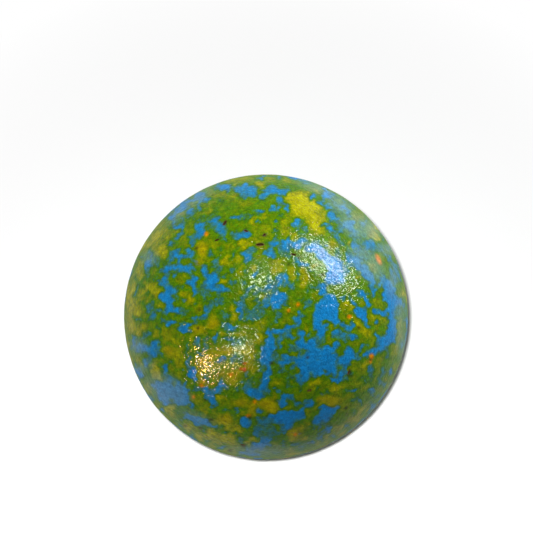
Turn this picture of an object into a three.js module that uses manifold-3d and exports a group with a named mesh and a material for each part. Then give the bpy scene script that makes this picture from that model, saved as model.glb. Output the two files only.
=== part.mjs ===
// A painted clay marble: a hand-rolled ball of fired clay in a thin coat of speckled, varnished paint.
// Millimetres, +Z up. The origin is the ball's centre, and the spot that it dried on faces down.
import * as THREE from 'three';
import { mergeVertices } from 'three/addons/utils/BufferGeometryUtils.js';
import Module from 'manifold-3d';

const wasm = await Module();
wasm.setup();

// Driving sizes
const BALL_DIAMETER = 16; // over the paint
const COAT_THICKNESS = 0.15; // blue ground, sponged colours and varnish together
const WAVE_HEIGHT = 0.03; // how far the rolled surface wanders in or out of a true sphere
const REST_SPOT_WIDTH = 1.2; // flat left where the wet coat stood on the drying rack

// A chip is a crater through the coat, with bare clay for its floor.
const CHIP_LENGTH = 0.36; // of the floor
const CHIP_WIDTH = 0.2; // of the floor
const CHIP_RIM_SLOPE = 0.03; // how far the broken paint leans back all round
const CHIP_CUT_OVERRUN = 0.05; // into the clay's place below, and above the paint
const CHIP_SIDES = 10;

// Facets: each edge of an icosahedron is split once more than the number here.
const CLAY_FACET_SPLITS = 11;
const PAINT_FACET_SPLITS = 14;

// Rolling between the palms leaves slow waves. Each runs round its own axis, and the shares add up to 1.
const ROLLING_WAVES = [
  { axis: new THREE.Vector3(0.3, 0.9, 0.3), crests: 2, strengthShare: 0.5 },
  { axis: new THREE.Vector3(-0.8, 0.2, 0.5), crests: 3, strengthShare: 0.3 },
  { axis: new THREE.Vector3(0.5, -0.6, 0.6), crests: 5, strengthShare: 0.2 },
];

// Where the coat has chipped, in degrees round and up the ball, the way each chip lies, and its share of full size.
const CHIPS = [
  { longitude: 106, latitude: 82, turn: 178, sizeShare: 1.1 },
  { longitude: 21, latitude: 79, turn: 176, sizeShare: 0.6 },
  { longitude: 149, latitude: 68, turn: 178, sizeShare: 0.5 },
  { longitude: 118, latitude: 74, turn: 147, sizeShare: 0.5 },
  { longitude: 130, latitude: 65, turn: 50, sizeShare: 0.8 },
  { longitude: 93, latitude: 78, turn: 55, sizeShare: 0.4 },
  { longitude: -69, latitude: 38, turn: 62, sizeShare: 0.4 },
  { longitude: -48, latitude: 36, turn: 139, sizeShare: 0.6 },
  { longitude: -99, latitude: 9, turn: 97, sizeShare: 0.6 },
  { longitude: 170, latitude: -22, turn: 75, sizeShare: 1.1 },
  { longitude: 62, latitude: -8, turn: 20, sizeShare: 0.7 },
  { longitude: 20, latitude: -40, turn: 110, sizeShare: 0.6 },
  { longitude: -140, latitude: -48, turn: 50, sizeShare: 0.9 },
];

// Colours: the coat's ground is blue, with green and yellow dabs over it.
const CLAY_BROWN = new THREE.Color('#8a4f2d');
const GROUND_BLUE = new THREE.Color('#2c83c8');
const DAB_GREEN = new THREE.Color('#5a8a06');
const DAB_YELLOW = new THREE.Color('#b4b000');

// The dabs lie along a spiral that spreads them evenly round the ball. Their widths follow a slow beat.
const DAB_COUNT = 130;
const DAB_WIDTH = 2.1; // of a middling dab
const DAB_WIDTH_SPREAD_SHARE = 0.6;
const DAB_BEAT = 2.4; // radians from one dab's width to the next
const YELLOW_EVERY = 3;
const YELLOW_WIDTH_SHARE = 0.6;

const GOLDEN_ANGLE = Math.PI * (3 - Math.sqrt(5));
const UP = new THREE.Vector3(0, 1, 0);
const DOWN = new THREE.Vector3(0, 0, -1);

// The painted surface's distance from the centre in one direction.
function paintedRadius(direction) {
  const wave = ROLLING_WAVES.reduce(
    (sum, { axis, crests, strengthShare }) =>
      sum + strengthShare * Math.cos(crests * direction.angleTo(axis)),
    0,
  );
  return BALL_DIAMETER / 2 + WAVE_HEIGHT * wave;
}

// A closed geometry as a solid that can be cut.
function solidFrom(geometry) {
  const bare = geometry.clone();
  bare.deleteAttribute('normal');
  bare.deleteAttribute('uv');
  const merged = mergeVertices(bare);
  return new wasm.Manifold(
    new wasm.Mesh({
      numProp: 3,
      vertProperties: merged.attributes.position.array,
      triVerts: new Uint32Array(merged.index.array),
    }),
  );
}

// A finished solid as a geometry to show.
function geometryFrom(solid) {
  const { vertProperties, triVerts } = solid.getMesh();
  const geometry = new THREE.BufferGeometry();
  geometry.setAttribute('position', new THREE.BufferAttribute(vertProperties, 3));
  geometry.setIndex(new THREE.BufferAttribute(triVerts, 1));
  return geometry;
}

// The rolled ball's form, taken in by so much from the painted surface.
function rolledBall(depth, facetSplits) {
  const geometry = new THREE.IcosahedronGeometry(1, facetSplits);
  const places = geometry.attributes.position;
  const place = new THREE.Vector3();
  for (let i = 0; i < places.count; i++) {
    place.fromBufferAttribute(places, i).normalize();
    place.setLength(paintedRadius(place) - depth);
    places.setXYZ(i, place.x, place.y, place.z);
  }
  return solidFrom(geometry);
}

// All that lies under the spot that the ball dried on.
function belowRestSpot() {
  const radius = paintedRadius(DOWN);
  const restSpotZ = -Math.sqrt(radius ** 2 - (REST_SPOT_WIDTH / 2) ** 2);
  const geometry = new THREE.BoxGeometry(BALL_DIAMETER, BALL_DIAMETER, BALL_DIAMETER);
  geometry.translate(0, 0, restSpotZ - BALL_DIAMETER / 2);
  return solidFrom(geometry);
}

// What a chip takes out of the coat.
function chipCut({ longitude, latitude, turn, sizeShare }) {
  const floorRadius = (sizeShare * CHIP_WIDTH) / 2;
  const mouthRadius = floorRadius + CHIP_RIM_SLOPE;
  const height = COAT_THICKNESS + 2 * CHIP_CUT_OVERRUN;
  const geometry = new THREE.CylinderGeometry(mouthRadius, floorRadius, height, CHIP_SIDES);
  geometry.scale(CHIP_LENGTH / CHIP_WIDTH, 1, 1);
  geometry.rotateY(THREE.MathUtils.degToRad(turn));

  const direction = new THREE.Vector3().setFromSpherical(
    new THREE.Spherical(
      1,
      THREE.MathUtils.degToRad(90 - latitude),
      THREE.MathUtils.degToRad(longitude),
    ),
  );
  direction.set(direction.z, direction.x, direction.y); // from Y up to Z up
  const middle = paintedRadius(direction) - COAT_THICKNESS / 2;
  geometry.applyQuaternion(new THREE.Quaternion().setFromUnitVectors(UP, direction));
  geometry.translate(...direction.multiplyScalar(middle));
  return solidFrom(geometry);
}

// The dabs of colour over the blue ground, each a direction from the centre and a width.
function sponge() {
  return Array.from({ length: DAB_COUNT }, (_, i) => {
    const height = 1 - (2 * i + 1) / DAB_COUNT;
    const reach = Math.sqrt(1 - height ** 2);
    const angle = i * GOLDEN_ANGLE;
    return {
      direction: new THREE.Vector3(reach * Math.cos(angle), reach * Math.sin(angle), height),
      width: DAB_WIDTH * (1 + DAB_WIDTH_SPREAD_SHARE * Math.sin(i * DAB_BEAT)),
      hasYellow: i % YELLOW_EVERY === 0,
    };
  });
}

// Gives each corner of the coat the colour that the dabs leave there.
function speckle(geometry) {
  const places = geometry.attributes.position;
  const colours = new Float32Array(places.count * 3);
  const dabs = sponge();
  const place = new THREE.Vector3();
  for (let i = 0; i < places.count; i++) {
    place.fromBufferAttribute(places, i);
    let colour = GROUND_BLUE;
    for (const { direction, width, hasYellow } of dabs) {
      const distance = place.angleTo(direction) * (BALL_DIAMETER / 2);
      if (distance > width / 2) continue;
      colour = DAB_GREEN;
      if (hasYellow && distance < (YELLOW_WIDTH_SHARE * width) / 2) {
        colour = DAB_YELLOW;
        break;
      }
    }
    colour.toArray(colours, i * 3);
  }
  geometry.setAttribute('color', new THREE.BufferAttribute(colours, 3));
  return geometry;
}

// The fired clay ball. The coat is cut from the same faces, so the two meet with no gap and no overlap.
const clayForm = rolledBall(COAT_THICKNESS, CLAY_FACET_SPLITS);
const restCut = belowRestSpot();
const clayBall = new THREE.Mesh(
  geometryFrom(clayForm.subtract(restCut)),
  new THREE.MeshStandardMaterial({ color: CLAY_BROWN, roughness: 0.9, metalness: 0 }),
);
clayBall.name = 'clay_ball';

// The coat of paint: a shell round the clay, flat where it dried, and chipped through in a few places.
const coat = CHIPS.map(chipCut).reduce(
  (whole, cut) => whole.subtract(cut),
  rolledBall(0, PAINT_FACET_SPLITS).subtract(restCut).subtract(clayForm),
);
const paintCoat = new THREE.Mesh(
  speckle(geometryFrom(coat)),
  new THREE.MeshStandardMaterial({ vertexColors: true, roughness: 0.35, metalness: 0 }),
);
paintCoat.name = 'paint_coat';

const marble = new THREE.Group();
marble.name = 'clay_marble';
marble.add(clayBall, paintCoat);

export default marble;
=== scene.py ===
"""A painted clay marble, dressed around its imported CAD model. Metres, +Z up, with the ball's centre at the origin."""

import math

import bmesh
import bpy
import numpy as np
from mathutils import Matrix, Vector


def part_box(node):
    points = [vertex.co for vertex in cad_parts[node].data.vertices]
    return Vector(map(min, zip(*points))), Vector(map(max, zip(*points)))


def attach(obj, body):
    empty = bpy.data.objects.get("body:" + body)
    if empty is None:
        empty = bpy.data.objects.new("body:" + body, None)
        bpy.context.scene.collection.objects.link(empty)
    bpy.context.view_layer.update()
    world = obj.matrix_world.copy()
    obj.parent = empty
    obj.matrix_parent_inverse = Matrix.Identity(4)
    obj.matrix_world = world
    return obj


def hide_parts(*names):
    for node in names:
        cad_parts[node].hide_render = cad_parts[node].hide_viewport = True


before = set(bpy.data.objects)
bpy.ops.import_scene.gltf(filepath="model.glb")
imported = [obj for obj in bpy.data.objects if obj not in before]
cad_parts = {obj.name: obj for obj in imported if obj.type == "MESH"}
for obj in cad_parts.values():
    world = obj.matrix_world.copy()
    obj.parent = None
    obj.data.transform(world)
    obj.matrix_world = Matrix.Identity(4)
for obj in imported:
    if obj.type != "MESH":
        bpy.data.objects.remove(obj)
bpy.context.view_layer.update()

# The photograph's view. It looks down on the marble from 70 degrees, close enough for the ball's rim to fall
# a little short of a half turn, and the ball lies low in the picture.
MILLIMETRE = 0.001
BALL_RADIUS = 8 * MILLIMETRE
PHOTO_SIDE = 533
BALL_PIXEL_X = 265.9
BALL_PIXEL_Y = 316.2
BALL_PIXEL_RADIUS = 142.1
CAMERA_ELEVATION = math.radians(70)
LENS = 100
SENSOR = 36

focal_pixels = LENS / SENSOR * PHOTO_SIDE
camera_distance = BALL_RADIUS / math.sin(math.atan(BALL_PIXEL_RADIUS / focal_pixels))
towards_camera = Vector((0, -math.cos(CAMERA_ELEVATION), math.sin(CAMERA_ELEVATION)))
camera_place = towards_camera * camera_distance
across_ball = Vector((1, 0, 0))
up_ball = towards_camera.cross(across_ball)

pitch = math.atan((BALL_PIXEL_Y - PHOTO_SIDE / 2) / focal_pixels)
yaw = math.atan((BALL_PIXEL_X - PHOTO_SIDE / 2) / focal_pixels)
view_axis = (up_ball * math.sin(pitch) - towards_camera * math.cos(pitch)).normalized()
view_axis = (view_axis - across_ball * math.tan(yaw)).normalized()
view_right = view_axis.cross(up_ball).normalized()
view_up = view_right.cross(view_axis).normalized()

camera_data = bpy.data.cameras.new("camera")
camera_data.lens = LENS
camera_data.sensor_width = SENSOR
camera_data.clip_start = MILLIMETRE
camera = bpy.data.objects.new("camera", camera_data)
camera.matrix_world = Matrix.Translation(camera_place) @ Matrix(
    (view_right, view_up, -view_axis)
).transposed().to_4x4()
bpy.context.scene.collection.objects.link(camera)
bpy.context.scene.camera = camera

# The clay ball: brown clay rolled by hand, dried and fired. It shows only on the floors of the chips in the paint,
# matt and grainy. The CAD node itself is shown, with its own material.
CLAY_BROWN = (0.220, 0.088, 0.026, 1)
CLAY_DARK = (0.080, 0.032, 0.012, 1)
CLAY_GRAIN = {"scale": 9.0, "detail": 3.0, "roughness": 0.6}
CLAY_GRAIN_HEIGHT = 0.01 * MILLIMETRE
CLAY_ROUGHNESS = 0.9
SPECULAR_LEVEL = 0.03  # low, because this room is white and the photograph's was nearly dark


def new_material(name):
    """A material with an empty node tree."""
    material = bpy.data.materials.new(name)
    material.use_nodes = True
    material.node_tree.nodes.clear()
    return material


def add(tree, kind, inputs=(), **settings):
    """One node, with its settings, and its inputs by name or number from a socket or a value."""
    node = tree.nodes.new(kind)
    for key, value in settings.items():
        setattr(node, key, value)
    for key, value in dict(inputs).items():
        if isinstance(value, bpy.types.NodeSocket):
            tree.links.new(value, node.inputs[key])
        else:
            node.inputs[key].default_value = value
    return node


def vector_maths(tree, operation, first, second=None):
    """The output of a Vector Math node. The second value is a number where the node scales, or else a vector."""
    inputs = {0: first}
    if second is not None:
        inputs["Scale" if operation == "SCALE" else 1] = second
    node = add(tree, "ShaderNodeVectorMath", inputs, operation=operation)
    return node.outputs["Value" if operation in ("DOT_PRODUCT", "LENGTH") else "Vector"]


def millimetres(tree):
    """Object coordinates in millimetres, so that a texture's scale is a count per millimetre."""
    return vector_maths(tree, "SCALE", add(tree, "ShaderNodeTexCoord").outputs["Object"], 1 / MILLIMETRE)


def noise(tree, place, scale, detail=2.0, roughness=0.5, distortion=0.0):
    """The value of a noise with so many cells to one unit of the place."""
    inputs = {"Vector": place, "Scale": scale, "Detail": detail, "Roughness": roughness, "Distortion": distortion}
    return add(tree, "ShaderNodeTexNoise", inputs).outputs[0]


def blend(tree, amount, first, second):
    """A colour between two colours. The numbers are those of a Mix node's factor, colours and resulting colour."""
    return add(tree, "ShaderNodeMix", {0: amount, 6: first, 7: second}, data_type="RGBA").outputs[2]


def bumped(tree, height, distance):
    """A normal for a surface that rises by so far where the height is 1."""
    return add(tree, "ShaderNodeBump", {"Height": height, "Distance": distance, "Strength": 1.0}).outputs[0]


def clay_material():
    """Fired clay, with a fine dark grain."""
    material = new_material("bare_clay")
    tree = material.node_tree
    grain = noise(tree, millimetres(tree), **CLAY_GRAIN)
    surface = add(
        tree,
        "ShaderNodeBsdfPrincipled",
        {
            "Base Color": blend(tree, grain, CLAY_DARK, CLAY_BROWN),
            "Roughness": CLAY_ROUGHNESS,
            "Specular IOR Level": SPECULAR_LEVEL,
            "Normal": bumped(tree, grain, CLAY_GRAIN_HEIGHT),
        },
    )
    add(tree, "ShaderNodeOutputMaterial", {"Surface": surface.outputs[0]})
    return material


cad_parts["clay_ball"].data.materials.clear()
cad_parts["clay_ball"].data.materials.append(clay_material())

# The paint coat: a shell 0.15 mm thick of blue ground, dabs of green and yellow, and varnish, bonded to the clay.
# It follows the rolled ball's slow waves and small lumps, it is flat where it dried, and it is chipped through.
COAT_THICKNESS = 0.15 * MILLIMETRE
WAVE_HEIGHT = 0.03 * MILLIMETRE
ROLLING_WAVES = (
    {"axis": (0.3, 0.9, 0.3), "crests": 2, "strength_share": 0.5},
    {"axis": (-0.8, 0.2, 0.5), "crests": 3, "strength_share": 0.3},
    {"axis": (0.5, -0.6, 0.6), "crests": 5, "strength_share": 0.2},
)
LUMPS = (
    {"height": 0.050 * MILLIMETRE, "cells_across_ball": 6.0},
    {"height": 0.022 * MILLIMETRE, "cells_across_ball": 22.0},
)
OUTER_FACETS = 126
INNER_FACETS = 20
FINE_SIDE_SHARE = 0.25
coat_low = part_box("paint_coat")[0]


def maths(tree, operation, first, second=0.0, third=0.0):
    """The output of a Math node."""
    return add(tree, "ShaderNodeMath", {0: first, 1: second, 2: third}, operation=operation).outputs[0]


def coat_tree(material):
    """Geometry Nodes that roll a cube's skin into the coat, the painted face outside and the clay's face inside, and
    the values for its inputs."""
    tree = bpy.data.node_groups.new("rolled_coat", "GeometryNodeTree")
    values = {}
    for name, kind, value in (
        ("Ball Radius", "NodeSocketFloat", BALL_RADIUS),
        ("Coat Thickness", "NodeSocketFloat", COAT_THICKNESS),
        ("Wave Height", "NodeSocketFloat", WAVE_HEIGHT),
        ("Rest Spot Height", "NodeSocketFloat", coat_low.z),
        ("Outer Corners", "NodeSocketInt", OUTER_FACETS + 1),
        ("Inner Corners", "NodeSocketInt", INNER_FACETS + 1),
        ("Fine Side", "NodeSocketVector", towards_camera * FINE_SIDE_SHARE),
        ("Material", "NodeSocketMaterial", material),
    ):
        socket = tree.interface.new_socket(name, in_out="INPUT", socket_type=kind)
        values[socket.identifier] = value
    tree.interface.new_socket("Geometry", in_out="OUTPUT", socket_type="NodeSocketGeometry")
    given = add(tree, "NodeGroupInput").outputs

    def rolled_skin(corners, depth):
        """A cube's skin pushed out to the rolled ball's form, taken in by a depth."""
        cube = add(
            tree,
            "GeometryNodeMeshCube",
            {"Size": (2.0, 2.0, 2.0), "Vertices X": corners, "Vertices Y": corners, "Vertices Z": corners},
        )
        place = add(tree, "GeometryNodeInputPosition").outputs[0]
        # The tangent makes the facets near the cube's corners about as large as those in the middle of its sides
        turned = vector_maths(tree, "SCALE", place, math.pi / 4)
        even = vector_maths(tree, "NORMALIZE", vector_maths(tree, "TANGENT", turned))
        direction = vector_maths(tree, "NORMALIZE", vector_maths(tree, "ADD", even, given["Fine Side"]))
        wave = 0.0
        for rolling in ROLLING_WAVES:
            axis = Vector(rolling["axis"]).normalized()
            angle = maths(tree, "ARCCOSINE", vector_maths(tree, "DOT_PRODUCT", direction, axis))
            swell = maths(tree, "COSINE", maths(tree, "MULTIPLY", angle, rolling["crests"]))
            wave = maths(tree, "MULTIPLY_ADD", swell, rolling["strength_share"], wave)
        reach = maths(tree, "MULTIPLY_ADD", wave, given["Wave Height"], given["Ball Radius"])
        reach = maths(tree, "SUBTRACT", reach, depth)
        for lumps in LUMPS:
            lump = maths(tree, "SUBTRACT", noise(tree, direction, lumps["cells_across_ball"] / 2), 0.5)
            reach = maths(tree, "MULTIPLY_ADD", lump, lumps["height"], reach)
        pushed = vector_maths(tree, "SCALE", direction, reach)
        # Nothing lies lower than the flat where the coat dried. Across, the limit is a metre off and does nothing.
        limits = add(tree, "ShaderNodeCombineXYZ", {"X": -1.0, "Y": -1.0, "Z": given["Rest Spot Height"]}).outputs[0]
        rested = vector_maths(tree, "MAXIMUM", pushed, limits)
        return add(tree, "GeometryNodeSetPosition", {"Geometry": cube.outputs["Mesh"], "Position": rested}).outputs[0]

    outside = rolled_skin(given["Outer Corners"], 0.0)
    inside = rolled_skin(given["Inner Corners"], given["Coat Thickness"])
    inside = add(tree, "GeometryNodeFlipFaces", {"Mesh": inside}).outputs[0]
    joined = add(tree, "GeometryNodeJoinGeometry")
    tree.links.new(outside, joined.inputs[0])
    tree.links.new(inside, joined.inputs[0])
    real = add(tree, "GeometryNodeRealizeInstances", {"Geometry": joined.outputs[0]}).outputs[0]
    painted = add(tree, "GeometryNodeSetMaterial", {"Geometry": real, "Material": given["Material"]}).outputs[0]
    add(tree, "NodeGroupOutput", {"Geometry": painted})
    return tree, values


# Chips and pinholes go through the coat to the clay. Each is a ragged little crater at the CAD chip's place.
CHIP_LENGTH = 0.30 * MILLIMETRE
CHIP_WIDTH = 0.12 * MILLIMETRE
CHIP_RIM_SLOPE = 0.02 * MILLIMETRE
CHIP_OVERRUN = 0.05 * MILLIMETRE
CHIP_SIDES = 22
CHIP_RAGGED_SHARE = 0.22
CHIPS = (
    {"longitude": 106, "latitude": 82, "turn": 178, "size_share": 1.1},
    {"longitude": 21, "latitude": 79, "turn": 176, "size_share": 0.6},
    {"longitude": 149, "latitude": 68, "turn": 178, "size_share": 0.5},
    {"longitude": 118, "latitude": 74, "turn": 147, "size_share": 0.5},
    {"longitude": 130, "latitude": 65, "turn": 50, "size_share": 0.8},
    {"longitude": 93, "latitude": 78, "turn": 55, "size_share": 0.4},
    {"longitude": -69, "latitude": 38, "turn": 62, "size_share": 0.4},
    {"longitude": -48, "latitude": 36, "turn": 139, "size_share": 0.6},
    {"longitude": -99, "latitude": 9, "turn": 97, "size_share": 0.6},
    {"longitude": 170, "latitude": -22, "turn": 75, "size_share": 1.1},
    {"longitude": 62, "latitude": -8, "turn": 20, "size_share": 0.7},
    {"longitude": 20, "latitude": -40, "turn": 110, "size_share": 0.6},
    {"longitude": -140, "latitude": -48, "turn": 50, "size_share": 0.9},
)
CHANCE_SEED = 16
chance = np.random.default_rng(CHANCE_SEED)


def chip_direction(chip):
    """The way to a chip from the ball's centre."""
    longitude, latitude = math.radians(chip["longitude"]), math.radians(chip["latitude"])
    level_reach = math.cos(latitude)
    return Vector((level_reach * math.cos(longitude), level_reach * math.sin(longitude), math.sin(latitude)))


def chip_turn(chip):
    """Turns a chip's own axes, with its length along X and its depth along Y, to its place."""
    upright = Vector((0, 1, 0)).rotation_difference(chip_direction(chip)).to_matrix()
    return upright @ Matrix.Rotation(math.radians(chip["turn"]), 3, "Y")


def chip_cutters():
    """What the chips take out of the coat, as one mesh of ragged plugs."""
    plugs = bmesh.new()
    for chip in CHIPS:
        direction = chip_direction(chip)
        turn = chip_turn(chip)
        floor_radius = chip["size_share"] * CHIP_WIDTH / 2
        outline = 1 + CHIP_RAGGED_SHARE * (chance.random(CHIP_SIDES) - 0.5)
        rings = []
        for radius, height in (
            (floor_radius, -COAT_THICKNESS - CHIP_OVERRUN),
            (floor_radius + CHIP_RIM_SLOPE, CHIP_OVERRUN),
        ):
            ring = []
            for side in range(CHIP_SIDES):
                angle = math.tau * side / CHIP_SIDES
                reach = radius * outline[side]
                local = Vector((reach * math.cos(angle) * CHIP_LENGTH / CHIP_WIDTH, height, -reach * math.sin(angle)))
                ring.append(plugs.verts.new(direction * BALL_RADIUS + turn @ local))
            rings.append(ring)
        floor, mouth = rings
        for side in range(CHIP_SIDES):
            after = (side + 1) % CHIP_SIDES
            plugs.faces.new((floor[side], floor[after], mouth[after], mouth[side]))
        plugs.faces.new(list(reversed(floor)))
        plugs.faces.new(mouth)
    bmesh.ops.recalc_face_normals(plugs, faces=plugs.faces)
    mesh = bpy.data.meshes.new("chip_cutters")
    plugs.to_mesh(mesh)
    plugs.free()
    return bpy.data.objects.new("chip_cutters", mesh)


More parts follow.
